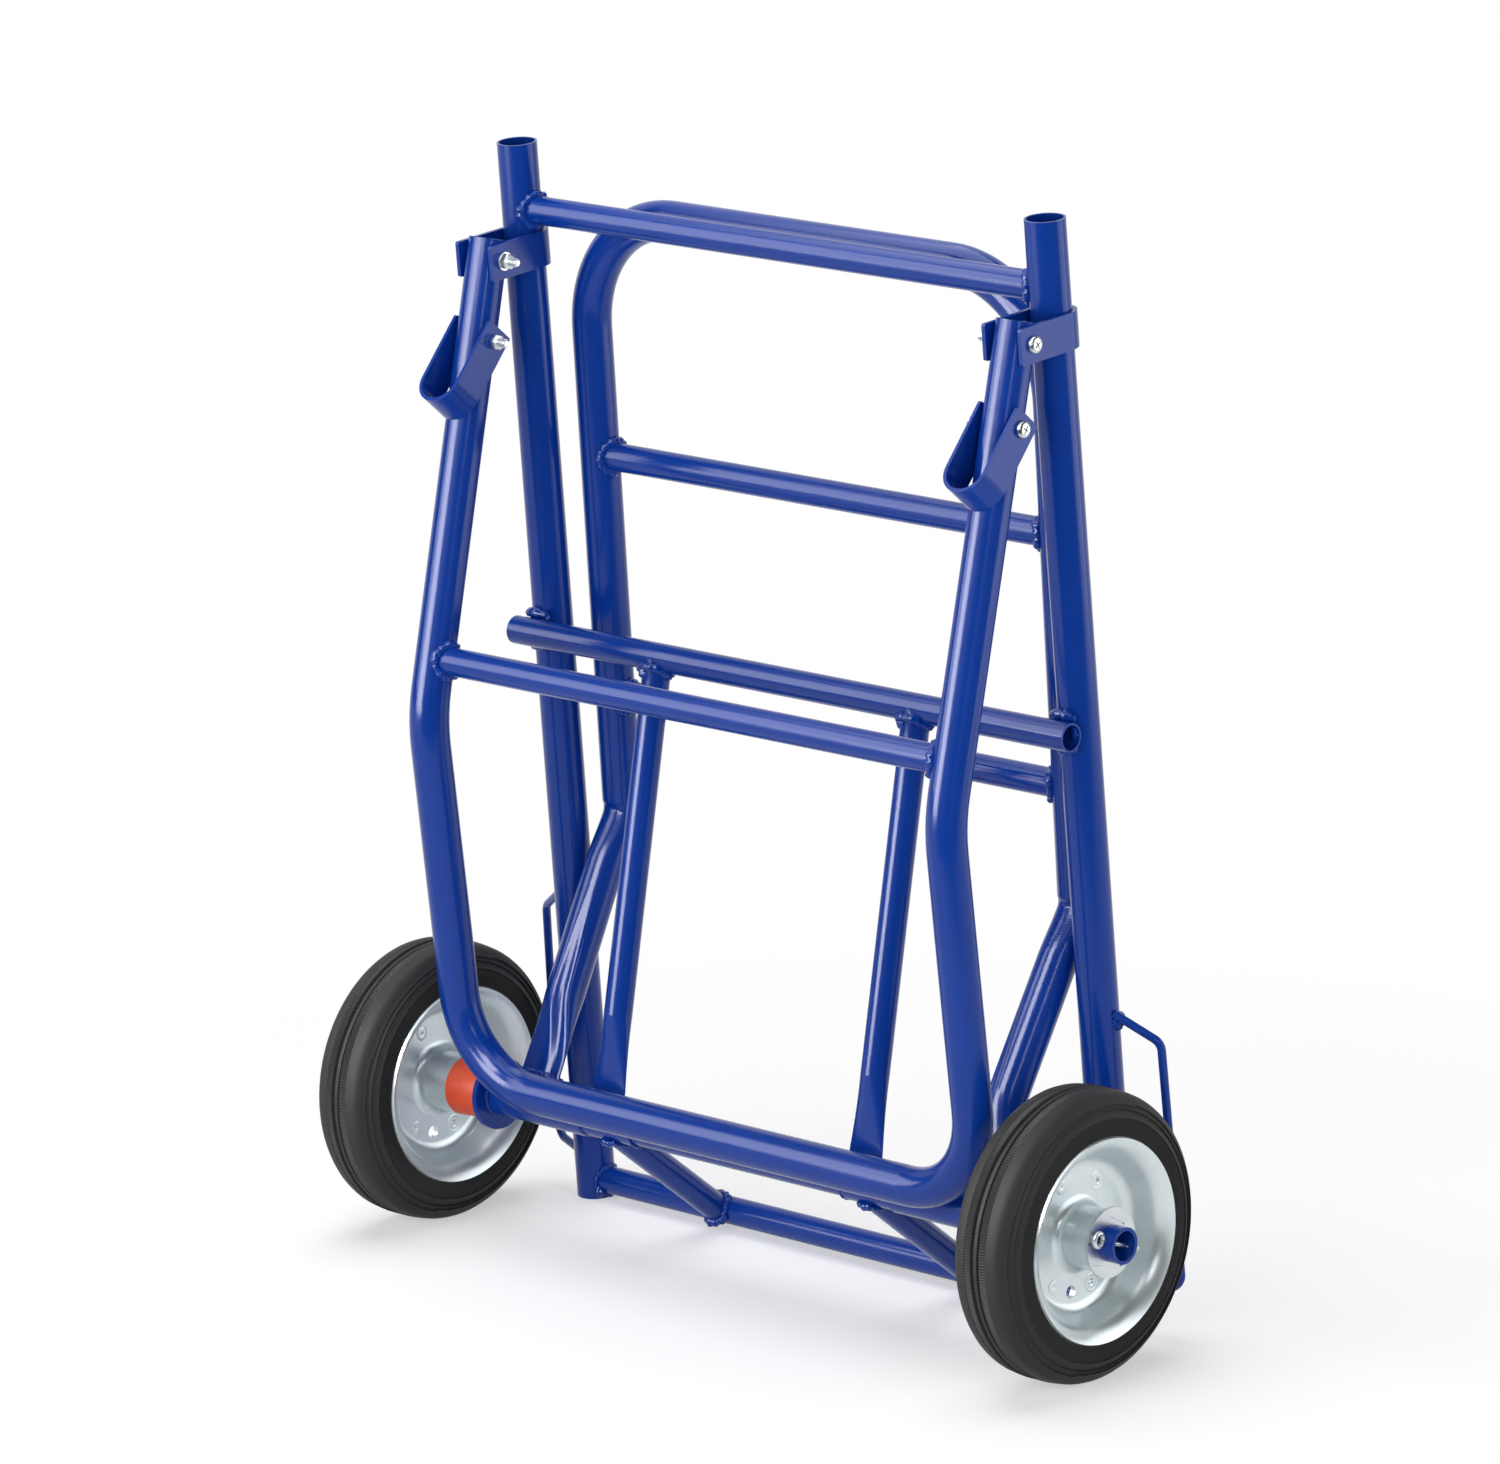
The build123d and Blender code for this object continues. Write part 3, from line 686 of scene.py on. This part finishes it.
def grow(shape, ring, radius, z, outline=None):
    """Extrude a ring to a new height: to a radius, or to a share of an outline's own radius."""
    verts = extrude_ring(shape, ring)
    for vert in verts:
        turn = math.atan2(vert.co.y, vert.co.x)
        reach = radius * outline(turn) if outline else radius
        vert.co = Vector((reach * math.cos(turn), reach * math.sin(turn), z))
    return verts


def cross_recess(turn):
    """Radius of a cross-shaped recess in a given direction."""
    c = max(abs(math.cos(turn)), 0.0001)
    s = max(abs(math.sin(turn)), 0.0001)
    return max(min(recess_arm / c, recess_half / s), min(recess_arm / s, recess_half / c))


def bolt_shape(length, thread_from):
    """Pan-head bolt along -Z, the underside of its head at zero."""
    shape = bmesh.new()
    neck = bmesh.ops.create_circle(shape, segments=bolt_sides, radius=bolt_r)["verts"]
    ring = neck
    for radius, z in head_profile:
        ring = grow(shape, ring, radius, z)
    for share, z in recess_profile:
        ring = grow(shape, ring, share, z, cross_recess)
    bmesh.ops.contextual_create(shape, geom=ring)
    ring = grow(shape, neck, bolt_r, -thread_from)
    ring = grow(shape, ring, thread_r, -thread_from - thread_relief)
    ring = grow(shape, ring, thread_r, -length + tip_chamfer)
    ring = grow(shape, ring, tip_r, -length)
    bmesh.ops.contextual_create(shape, geom=ring)
    turns = int((length - thread_from - thread_spare) / thread_pitch)
    thread = bmesh.new()
    ridge = bmesh.ops.create_circle(thread, segments=3, radius=thread_ridge)["verts"]
    bmesh.ops.rotate(thread, cent=(0, 0, 0), matrix=Matrix.Rotation(math.pi / 2, 3, "X"), verts=ridge)
    bmesh.ops.translate(thread, vec=(thread_r, 0, -thread_from - thread_lead), verts=ridge)
    ends = bmesh.ops.spin(thread, geom=thread.verts[:] + thread.edges[:], cent=(0, 0, 0), axis=(0, 0, 1),
                          dvec=(0, 0, -thread_pitch / thread_steps), angle=math.tau * turns,
                          steps=thread_steps * turns)["geom_last"]
    bmesh.ops.contextual_create(thread, geom=ridge)
    bmesh.ops.contextual_create(thread, geom=[g for g in ends if isinstance(g, bmesh.types.BMVert)])
    add_shape(shape, thread)
    return shape


def along_x(side, at, turn):
    """Place for a part drawn along Z, its top toward the outside of the truck."""
    out = Matrix.Rotation(side * math.pi / 2, 4, "Y")
    return Matrix.Translation(at) @ out @ Matrix.Rotation(turn, 4, "Z")


latch_from_hinge = 0.056
latch_at = hinge + handle_way * latch_from_hinge
hinge_out = 0.0173
latch_out = 0.0177
hands = ((-1, "left_"), (1, "right_"))
bolts = (
    ("hinge_bolt", "main_frame", hinge, hinge_out, 0.0132, 0.0062, 0.5),
    ("latch_bolt", "handle", latch_at, latch_out, 0.0120, 0.0050, 0.9),
)
for side, name in hands:
    for node, body, middle, out, past, plain, turn in bolts:
        at = on_side(side, middle + x_way * out)
        shape = bolt_shape(length=2 * out + past, thread_from=2 * out + plain)
        bmesh.ops.transform(shape, matrix=along_x(side, at, turn), verts=shape.verts)
        fit(name + node + "_detailed", shape, bolt_zinc, body, [name + node])


# Nuts on the inner ends of the bolts, and the plain washers under the hinge nuts.
# Hexagon steel nuts with chamfered corners, zinc plated like the bolts.

nut_corner_r = 0.00577
nut_high = 0.005
nut_chamfer = 0.0006
nut_turn = 0.3
plain_washer = 0.0012


def nut_shape():
    """Hexagon nut along -Z, its seat at zero."""
    shape = bmesh.new()
    bmesh.ops.create_cone(shape, cap_ends=True, segments=6, radius1=nut_corner_r, radius2=nut_corner_r,
                          depth=nut_high)
    bmesh.ops.translate(shape, vec=(0, 0, -nut_high / 2), verts=shape.verts)
    rims = [e for e in shape.edges if abs(e.verts[0].co.z - e.verts[1].co.z) < nut_high / 2]
    bmesh.ops.bevel(shape, geom=rims, offset=nut_chamfer, offset_type="OFFSET", affect="EDGES", segments=2,
                    profile=0.5, material=-1)
    return shape


nuts = (
    ("hinge_nut", "main_frame", hinge, hinge_out + plain_washer),
    ("latch_nut", "handle", latch_at, latch_out),
)
for side, name in hands:
    for node, body, middle, inside in nuts:
        shape = nut_shape()
        seat = on_side(side, middle - x_way * inside)
        bmesh.ops.transform(shape, matrix=along_x(side, seat, nut_turn), verts=shape.verts)
        fit(name + node + "_detailed", shape, bolt_zinc, body, [name + node])
dress(both("hinge_washer"), bolt_zinc)


# Wheel discs: two dished pressings for each wheel, riveted back to back round the hub.
# Thin steel sheet with a flank that rolls over into a lip, pierced, and pressed into rings round
# two of the holes; zinc plated, with cloudy grey and bluish patches.

pale_disc = (0.73, 0.79, 0.80)
dull_disc = (0.58, 0.66, 0.69)
disc_zinc = zinc("disc_zinc", pale_disc, dull_disc, rough_low=0.25, rough_span=0.14, spangle=420.0, bare=0.75)
wheel_x = 0.301
feature_r = 0.039
sheet_face = 0.00205
half_sheet = 0.001
disc_mid = 0.00105
disc_profile = (
    (0.0300, 0, 0.0200), (disc_mid, 0, 0.0200), (disc_mid, 0, 0.0520), (0.0243, 0, 0.0622),
    (0.0276, 0, 0.0702),
)
disc_corners = [Vector(point) for point in disc_profile]
disc_bends = (0.008, 0.010, 0.019)
disc_steps = 192
flat_from = 0.0300
flat_to = 0.0445
hole_steps = 32
dimple_angles = (37.5, 163.0)
dimple_hole_r = 0.0025
valve_angle = 194.0
valve_hole_r = 0.0045
disc_holes = [(angle, dimple_hole_r) for angle in dimple_angles] + [(valve_angle, valve_hole_r)]


def turned(points, steps, parts=4):
    """Shell turned about X from (x, radius) points: one part of the turn, then its copies."""
    shape = bmesh.new()
    verts = [shape.verts.new((x, 0, r)) for x, r in points]
    edges = [shape.edges.new(pair) for pair in zip(verts, verts[1:])]
    bmesh.ops.spin(shape, geom=verts + edges, cent=(0, 0, 0), axis=(1, 0, 0), angle=math.tau / parts,
                   steps=steps // parts)
    part = shape.verts[:] + shape.edges[:] + shape.faces[:]
    bmesh.ops.spin(shape, geom=part, cent=(0, 0, 0), axis=(1, 0, 0), angle=math.tau * (parts - 1) / parts,
                   steps=parts - 1, use_duplicate=True)
    bmesh.ops.remove_doubles(shape, verts=shape.verts, dist=0.0000005)
    return shape


def on_disc(side, angle):
    """Place on a wheel disc, clockwise from the top as seen from outside."""
    turn = math.radians(angle)
    return Vector((side * wheel_x, feature_r * math.sin(turn), feature_r * math.cos(turn)))


def sheet_sides(line):
    """Points of the open side and of the tyre side of a sheet that follows a line."""
    sides = []
    for off in (-half_sheet, half_sheet):
        points = []
        for count, point in enumerate(line):
            way = (line[min(count + 1, len(line) - 1)] - line[max(count - 1, 0)]).normalized()
            points.append((point.x - way.z * off, point.z + way.x * off))
        sides.append(points)
    return sides


def pierced_ring(face):
    """Flat part of a disc, with its holes, at a distance from the middle of the wheel."""
    shape = bmesh.new()
    loops = [(Vector((0, 0, 0)), radius, disc_steps) for radius in (flat_from, flat_to)]
    loops += [(on_disc(0, angle), radius, hole_steps) for angle, radius in disc_holes]
    for middle, radius, steps in loops:
        loop = bmesh.ops.create_circle(shape, segments=steps, radius=radius)["verts"]
        bmesh.ops.rotate(shape, cent=(0, 0, 0), matrix=Matrix.Rotation(math.pi / 2, 3, "Y"), verts=loop)
        bmesh.ops.translate(shape, vec=middle + x_way * face, verts=loop)
    bmesh.ops.triangle_fill(shape, use_beauty=True, use_dissolve=False, edges=shape.edges[:])
    return shape


def rim_shape():
    """One pressed disc: hub, pierced flat, and a flank that rolls over into the lip."""
    line = disc_corners[:1]
    for before, corner, after, bend in zip(disc_corners, disc_corners[1:], disc_corners[2:], disc_bends):
        line += round_corner(before, corner, after, bend, bend_steps)
    line.append(disc_corners[-1])
    hub_points = bend_steps + 2
    hub_open, hub_back = sheet_sides(line[:hub_points] + [Vector((disc_mid, 0, flat_from))])
    rim_open, rim_back = sheet_sides([Vector((disc_mid, 0, flat_to))] + line[hub_points:])
    shape = turned(hub_open[::-1] + hub_back, disc_steps)
    add_shape(shape, turned(rim_open + rim_back[::-1], disc_steps))
    faces = (disc_mid + half_sheet, disc_mid - half_sheet)
    for face in faces:
        add_shape(shape, pierced_ring(face))
    for angle, radius in disc_holes:
        wall = turned([(face, radius) for face in faces], hole_steps)
        bmesh.ops.translate(wall, vec=on_disc(0, angle), verts=wall.verts)
        add_shape(shape, wall)
    return shape


def on_both_faces(target, profile, steps, side, angle):
    """Add a turned shape to the outer and the inner face of a wheel's discs."""
    for way in (-1, 1):
        shape = turned([(way * (sheet_face + x), r) for x, r in profile], steps)
        bmesh.ops.translate(shape, vec=on_disc(side, angle), verts=shape.verts)
        add_shape(target, shape)


for side, name in hands:
    for way, node in ((side, "rim_outer"), (-side, "rim_inner")):
        shape = rim_shape()
        place = Matrix.Translation((side * wheel_x, 0, 0)) @ Matrix.Diagonal((way, 1, 1, 1))
        bmesh.ops.transform(shape, matrix=place, verts=shape.verts)
        fit(name + node + "_pressed", shape, disc_zinc, name + "wheel", [name + node])

dimple_profile = (
    (-sheet_face, 0.0013), (-0.0004, 0.0013), (0.0000, 0.0018), (0.0002, 0.0027), (0.0003, 0.0034),
    (0.0001, 0.0042), (0.0001, 0.0048), (0.0003, 0.0054), (0.0003, 0.0060), (0.0001, 0.0066),
    (-0.0002, 0.0068), (-sheet_face, 0.0068),
)
dimple_steps = 40
for side, name in hands:
    dimples = bmesh.new()
    for angle in dimple_angles:
        on_both_faces(dimples, dimple_profile, dimple_steps, side, angle)
    fit(name + "wheel_pressed_rings", dimples, disc_zinc, name + "wheel")


# Rivets that hold the two discs of a wheel together, three to a wheel.
# Zinc plated steel with low heads, each with a dent from the setting tool.

rivet_profile = (
    (0.0003, 0.0), (0.0003, 0.0005), (0.0005, 0.0009), (0.0006, 0.0030), (0.0005, 0.0044), (0.0003, 0.0050),
    (-0.0001, 0.00525), (-0.0001, 0.0025), (-sheet_face, 0.0025),
)
rivet_angles = (101.5, 221.5, 341.5)
rivet_steps = 36
for side, name in hands:
    for count, angle in enumerate(rivet_angles, 1):
        rivet = bmesh.new()
        on_both_faces(rivet, rivet_profile, rivet_steps, side, angle)
        node = name + "wheel_rivet_" + str(count)
        fit(node + "_head", rivet, disc_zinc, name + "wheel", [node])


# Axle washers and split pins that keep the wheels on.
# Stamped and bent steel, zinc plated; the pins go through holes near the ends of the axle.

dress(both("axle_washer", "split_pin"), bolt_zinc)


# Bushes in the hubs, the inner one reaching out to the sleeve flange.
# Moulded orange nylon, pressed into the discs, with a faint flow in its colour.

deep_orange = (0.78, 0.075, 0.020)
pale_orange = (0.88, 0.100, 0.028)
nylon, start, place = new_finish("orange_nylon")
flow = start.node("TexNoise", {}, {"Vector": place, "Scale": 60.0, "Detail": 3.0})
skin = start.node("TexNoise", {}, {"Vector": place, "Scale": 1400.0, "Detail": 2.0})
coat(start, {
    "Base Color": blend_colours(start, flow, deep_orange, pale_orange),
    "Roughness": 0.34 + 0.12 * flow,
    "Normal": start.node("Bump", {}, {"Strength": 1.0, "Distance": 0.00003, "Height": skin}),
})
dress(both("inner_bush", "outer_bush"), nylon)


# Tyres: moulded black rubber. A ribbed groove runs round the middle of the tread between two
# knurled strips; the wide plain shoulders step down to a serrated band next to the rim.

deep_rubber = (0.0200, 0.0200, 0.0205)
pale_rubber = (0.0320, 0.0320, 0.0325)
rubber, start, place = new_finish("black_rubber")
bloom = start.node("TexNoise", {}, {"Vector": place, "Scale": 22.0, "Detail": 5.0, "Roughness": 0.6})
pores = start.node("TexNoise", {}, {"Vector": place, "Scale": 1500.0, "Detail": 3.0})
coat(start, {
    "Base Color": blend_colours(start, bloom, deep_rubber, pale_rubber),
    "Roughness": 0.48 + 0.20 * bloom,
    "Specular IOR Level": 0.20,
    "Normal": start.node("Bump", {}, {"Strength": 1.0, "Distance": 0.00006, "Height": pores + 0.5 * bloom}),
})

tyre_steps = 640
tyre_parts = 32
tyre_half = (
    (0.0000, 0.0992), (0.0012, 0.0992), (0.0016, 0.0990), (0.0019, 0.0977), (0.0022, 0.0972),
    (0.0027, 0.0972), (0.0031, 0.0979), (0.0034, 0.0994), (0.0038, 0.0999), (0.0043, 0.0999),
    (0.0060, 0.0999), (0.0076, 0.0998), (0.0091, 0.0996), (0.0096, 0.0996), (0.0120, 0.0993),
    (0.0150, 0.0989), (0.0172, 0.0981), (0.0190, 0.0969), (0.0207, 0.0950), (0.0219, 0.0932),
    (0.0229, 0.0917), (0.0233, 0.0914), (0.0222, 0.0911), (0.0225, 0.0904), (0.0239, 0.0887),
    (0.0245, 0.0884), (0.0234, 0.0880), (0.0238, 0.0873), (0.0253, 0.0852), (0.0262, 0.0836),
    (0.0268, 0.0829), (0.0258, 0.0825), (0.0262, 0.0821), (0.0271, 0.0795), (0.0273, 0.0765),
    (0.0272, 0.0735), (0.0270, 0.0718), (0.0266, 0.0710), (0.0258, 0.0697),
)
tread_knurl = (0.0041, 0.0093)
side_knurl = (0.0717, 0.0822)
knurl_deep = 0.00075
first_step = (0.0907, 0.0918)
step_parts = ((0.5, 2.0), (3.5, 5.2))
step_up = 0.0011
step_in = 0.0007
for side, name in hands:
    outline = [(-x, r) for x, r in tyre_half[:0:-1]] + list(tyre_half)
    outline.append(outline[0])
    shape = turned(outline, tyre_steps, tyre_parts)
    for vert in shape.verts:
        radius = math.hypot(vert.co.y, vert.co.z)
        turn = math.atan2(vert.co.y, vert.co.z) % math.tau
        outward = Vector((0, math.sin(turn), math.cos(turn)))
        inward = Vector((math.copysign(1.0, -vert.co.x), 0, 0))
        if round(turn / math.tau * tyre_steps) % 2:
            if tread_knurl[0] < abs(vert.co.x) < tread_knurl[1]:
                vert.co -= outward * knurl_deep
            if side_knurl[0] < radius < side_knurl[1]:
                vert.co += inward * knurl_deep
        if first_step[0] < radius < first_step[1] and any(a < turn < b for a, b in step_parts):
            vert.co += outward * step_up + inward * step_in
    bmesh.ops.translate(shape, vec=(side * wheel_x, 0, 0), verts=shape.verts)
    fit(name + "tyre_moulded", shape, rubber, name + "wheel", [name + "tyre"], crease=30.0)


# Floor: a wide pale sheet under the truck.
# It keeps the shadow near the truck and is plain white further away.

view_right = Vector((0.7269, 0.6864, -0.0185))
view_back = Vector((0.6709, -0.7041, 0.2326))
white = (1.0, 1.0, 1.0, 1.0)
floor_grey = (0.64, 0.64, 0.64, 1.0)
floor_lift = 0.46
floor_half = 6
shadow_full = 0.45
shadow_end = 1.00


def seen_rays(start):
    """One for rays from the camera, from reflections and through glass, and zero for stray light."""
    camera_ray = start.node("LightPath", {}, {}, out="Is Camera Ray")
    glossy_ray = start.node("LightPath", {}, {}, out="Is Glossy Ray")
    clear_ray = start.node("LightPath", {}, {}, out="Is Transmission Ray")
    settings = {"operation": "ADD", "use_clamp": True}
    return start.node("Math", settings, {0: camera_ray + glossy_ray, 1: clear_ray})


def stage_sheet(name, corners, sides, finish):
    """Flat panels of the studio, drawn with X to the right and Y away from the camera."""
    shape = bmesh.new()
    verts = [shape.verts.new(corner) for corner in corners]
    for side in sides:
        bmesh.ops.contextual_create(shape, geom=[verts[count] for count in side])
    across = math.atan2(view_right.y, view_right.x)
    bmesh.ops.rotate(shape, cent=(0, 0, 0), matrix=Matrix.Rotation(across, 3, "Z"), verts=shape.verts)
    mesh = bpy.data.meshes.new(name)
    shape.to_mesh(mesh)
    shape.free()
    mesh.materials.append(finish)
    panel = bpy.data.objects.new(name, mesh)
    bpy.context.scene.collection.objects.link(panel)
    panel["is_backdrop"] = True
    return panel


floor_paint, start, place = new_finish("pale_floor")
away = start.node("VectorMath", {"operation": "LENGTH"}, {0: place}, out="Value")
fade = start.node("MapRange", {"interpolation_type": "SMOOTHSTEP"},
                  {"Value": away, "From Min": shadow_full, "From Max": shadow_end})
seen = seen_rays(start)
matt = start.node("BsdfDiffuse", {}, {"Color": floor_grey})
lift = start.node("Emission", {}, {"Color": white, "Strength": floor_lift * seen})
near = start.node("AddShader", {}, {0: matt, 1: lift})
glow = start.node("Emission", {}, {"Color": white, "Strength": 1.0})
sheet = start.node("MixShader", {}, {0: fade * seen, 1: near, 2: glow})
start.node("OutputMaterial", {}, {"Surface": sheet})
floor_corners = [(x * floor_half, y * floor_half, 0) for x, y in ((-1, -1), (1, -1), (1, 1), (-1, 1))]
stage_sheet("floor", floor_corners, ((0, 1, 2, 3),), floor_paint)


# Dark cloths of the studio in front, overhead and at both sides, open toward the back.
# They show only in the paint and the zinc, which would look milky under white on all sides.

cloth, start, place = new_finish("dark_cloth")
weave = start.node("TexNoise", {}, {"Vector": place, "Scale": 3.0})
shade = blend_colours(start, weave, (0.03, 0.03, 0.03), (0.05, 0.05, 0.05))
start.node("OutputMaterial", {}, {"Surface": start.node("BsdfDiffuse", {}, {"Color": shade})})
cloth_half = 5
cloth_near = -0.9
cloth_front = -4
cloth_back = 3.2
cloth_low = 0.01
cloth_high = 4.5
cloth_folds = (
    (cloth_near, cloth_low), (cloth_front, cloth_low), (cloth_front, cloth_high), (cloth_back, cloth_high),
    (cloth_back, cloth_low),
)
cloths = stage_sheet(
    "dark_cloths",
    [(x, y, z) for y, z in cloth_folds for x in (-cloth_half, cloth_half)],
    ((0, 1, 3, 2), (2, 3, 5, 4), (4, 5, 7, 6), (4, 6, 8, 2), (5, 3, 9, 7)),
    cloth,
)
cloths.visible_camera = False
cloths.visible_diffuse = False
cloths.visible_transmission = False
cloths.visible_volume_scatter = False
cloths.visible_shadow = False


# Light: soft boxes in front, to the left, to the right and overhead that show only as reflections
# in the paint and the zinc, a top box that lights the truck as well, and even fills on both sides
# of the camera that bring out the colours and show in no reflection.

truck_middle = Vector((0.0, 0.0, 0.40))
power_of_radiance = 4


def soft_box(name, off, wide, high, radiance, shows=True, fills=True):
    """Rectangular lamp, set off from the middle of the truck and turned to shine toward it."""
    lamp = bpy.data.lights.new(name, "AREA")
    lamp.shape = "RECTANGLE"
    lamp.size = wide
    lamp.size_y = high
    lamp.energy = power_of_radiance * wide * high * radiance
    box = bpy.data.objects.new(name, lamp)
    bpy.context.scene.collection.objects.link(box)
    at = truck_middle + off
    box.location = at
    box.rotation_euler = (truck_middle - at).to_track_quat("-Z", "Y").to_euler()
    box.visible_glossy = shows
    box.visible_diffuse = fills


right_off = view_right * 2.2 + view_back * 0.2 + z_way * 0.3
for name, off, wide, high, radiance in (
    ("low_front_box", Vector((-0.78, -1.98, 0.30)), 1.05, 0.95, 14.5),
    ("high_front_box", Vector((0.05, -1.86, 1.22)), 1.15, 1.05, 14.5),
    ("left_panel", Vector((-1.45, -1.30, 0.90)), 0.8, 1.8, 5.0),
    ("strip", Vector((2.00, -1.20, 0.80)), 0.12, 0.70, 12.0),
    ("right_panel", right_off, 1.6, 2.0, 1.6),
    ("disc_panel", Vector((0.95, -1.20, 2.10)), 1.3, 1.3, 1.7),
):
    soft_box(name, off, wide, high, radiance, fills=False)
soft_box("top_box", Vector((-0.5, 0.1, 2.2)), 2.2, 2.2, 2.6)
for across in (-1, 1):
    beside = view_right * across
    soft_box("side_fill", view_back * 1.4 + beside * 2.2, 1.8, 1.8, 2.0 - 0.6 * across, shows=False)
    soft_box("front_fill", view_back * 2.6 + beside, 1.2, 1.6, 2.2, shows=False)

stray_light = 0.06
world = bpy.data.worlds.new("studio")
bpy.context.scene.world = world
world.use_nodes = True
world.node_tree.nodes.clear()
start = Finish(world.node_tree)
sky_light = stray_light + (1.0 - stray_light) * seen_rays(start)
sky = start.node("Background", {}, {"Color": white, "Strength": sky_light})
start.node("OutputWorld", {}, {"Surface": sky})


# Camera in front and to the right, a little above the truck and well back from it.
# A long lens keeps the uprights nearly parallel.

camera_at = Vector((4.1141, -4.3163, 1.8226))
lens = bpy.data.cameras.new("photo_camera")
lens.lens = 216.54
lens.sensor_width = 36.0
lens.sensor_fit = "HORIZONTAL"
lens.clip_end = 100.0
lens.shift_x = 0.0010
lens.shift_y = -0.0009
camera = bpy.data.objects.new("photo_camera", lens)
bpy.context.scene.collection.objects.link(camera)
view_up = view_back.cross(view_right)
view_turn = Matrix((view_right, view_up, view_back)).transposed().to_4x4()
camera.matrix_world = Matrix.Translation(camera_at) @ view_turn
bpy.context.scene.camera = camera
bpy.context.scene.view_settings.view_transform = "Standard"


# The box round the finished model, leaving out the studio panels.

low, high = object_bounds()
